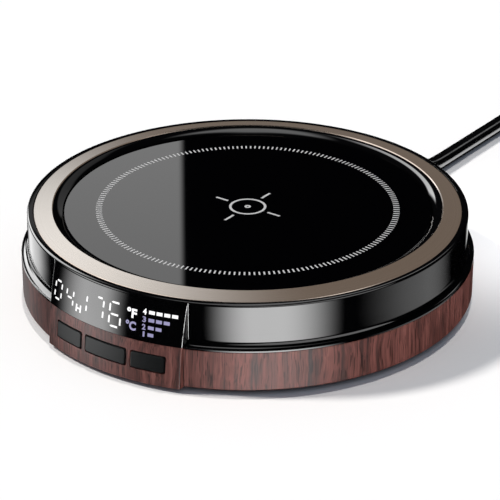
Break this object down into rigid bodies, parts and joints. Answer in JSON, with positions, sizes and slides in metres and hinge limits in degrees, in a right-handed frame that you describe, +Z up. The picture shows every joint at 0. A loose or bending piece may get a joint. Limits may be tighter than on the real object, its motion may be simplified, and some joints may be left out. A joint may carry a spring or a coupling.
{
  "type": "mug warmer",
  "caption": "Round electric mug warmer with a recessed glass hot plate, a front display over push buttons, a wood-grain base and a mains lead.",
  "frame": {"origin": "centre of the round body at the plane its feet stand on", "axes": "+Z up, out of the hot plate; the display and buttons face -Y; the mains lead leaves towards +Y; +X is to the right seen from the front"},
  "size_m": [0.1258, 0.2833, 0.0252],
  "materials": {
    "gloss_housing": "gloss",
    "trim_metal": "fine turned brush, champagne anodised",
    "black_glass": "polished, opaque black backed",
    "display_window": "smoked gloss",
    "wood_grain": "satin rosewood-grain film",
    "button_charcoal": "satin",
    "cover_black": "fine moulded texture",
    "foot_rubber": "matt",
    "silicone": "matt",
    "spreader_aluminium": "turned",
    "mica": "dull",
    "ceramic_fibre": "fibrous",
    "pressed_steel": "zinc plated",
    "screw_steel": "plated",
    "sensor_body": "ceramic, dull",
    "fuse_body": "ceramic, dull",
    "led_module": "satin white wells",
    "circuit_board": "satin solder mask",
    "switch_black": "satin",
    "plunger_cream": "satin",
    "capacitor_red": "satin",
    "ferrite": "dull",
    "chip_black": "dull",
    "terminal_green": "satin",
    "connector_white": "satin",
    "wire_insulation": "satin",
    "cord_black": "gloss",
    "tie_black": "woven",
    "plug_black": "satin",
    "blade_metal": "nickel plated"
  },
  "bodies": {
    "housing": {"upper_housing": "gloss_housing", "trim_ring": "trim_metal", "panel_bezel": "gloss_housing", "glass_panel": "black_glass", "panel_gasket": "silicone", "heat_spreader": "spreader_aluminium", "heating_element": "mica", "insulation_pad": "ceramic_fibre", "heater_bracket": "pressed_steel", "bracket_screws": "screw_steel", "thermistor": "sensor_body", "thermal_fuse": "fuse_body", "fuse_clip": "pressed_steel", "base_shell": "wood_grain", "control_fascia": "wood_grain", "display_lens": "display_window", "led_display": "led_module", "control_board": "circuit_board", "main_board": "circuit_board", "board_screws": "screw_steel", "film_capacitor": "capacitor_red", "choke": "ferrite", "triac": "chip_black", "controller_chip": "chip_black", "terminal_block": "terminal_green", "heater_connector": "connector_white", "sensor_connector": "connector_white", "display_connector": "connector_white", "heater_leads": "wire_insulation", "sensor_leads": "wire_insulation", "display_harness": "wire_insulation", "bottom_cover": "cover_black", "cover_screws": "screw_steel", "rubber_feet": "foot_rubber", "strain_relief": "cord_black", "cord_clamp": "cover_black", "clamp_screws": "screw_steel", "cord_tail": "cord_black", "power_cord": "cord_black", "cord_coil": "cord_black", "cord_end": "cord_black", "cord_tie": "tie_black", "plug_body": "plug_black", "plug_blades": "blade_metal", "left_switch": "switch_black", "middle_switch": "switch_black", "right_switch": "switch_black"},
    "left_push_button": {"left_button": "button_charcoal", "left_plunger": "plunger_cream"},
    "middle_push_button": {"middle_button": "button_charcoal", "middle_plunger": "plunger_cream"},
    "right_push_button": {"right_button": "button_charcoal", "right_plunger": "plunger_cream"}
  },
  "joints": [
    {"name": "left_button_press", "type": "slide", "parent": "housing", "child": "left_push_button", "axis": [0, 1, 0], "range_m": [0, 0.0005], "stiffness_N_per_m": 800, "springref_m": -0.001},
    {"name": "middle_button_press", "type": "slide", "parent": "housing", "child": "middle_push_button", "axis": [0, 1, 0], "range_m": [0, 0.0005], "stiffness_N_per_m": 800, "springref_m": -0.001},
    {"name": "right_button_press", "type": "slide", "parent": "housing", "child": "right_push_button", "axis": [0, 1, 0], "range_m": [0, 0.0005], "stiffness_N_per_m": 800, "springref_m": -0.001}
  ]
}
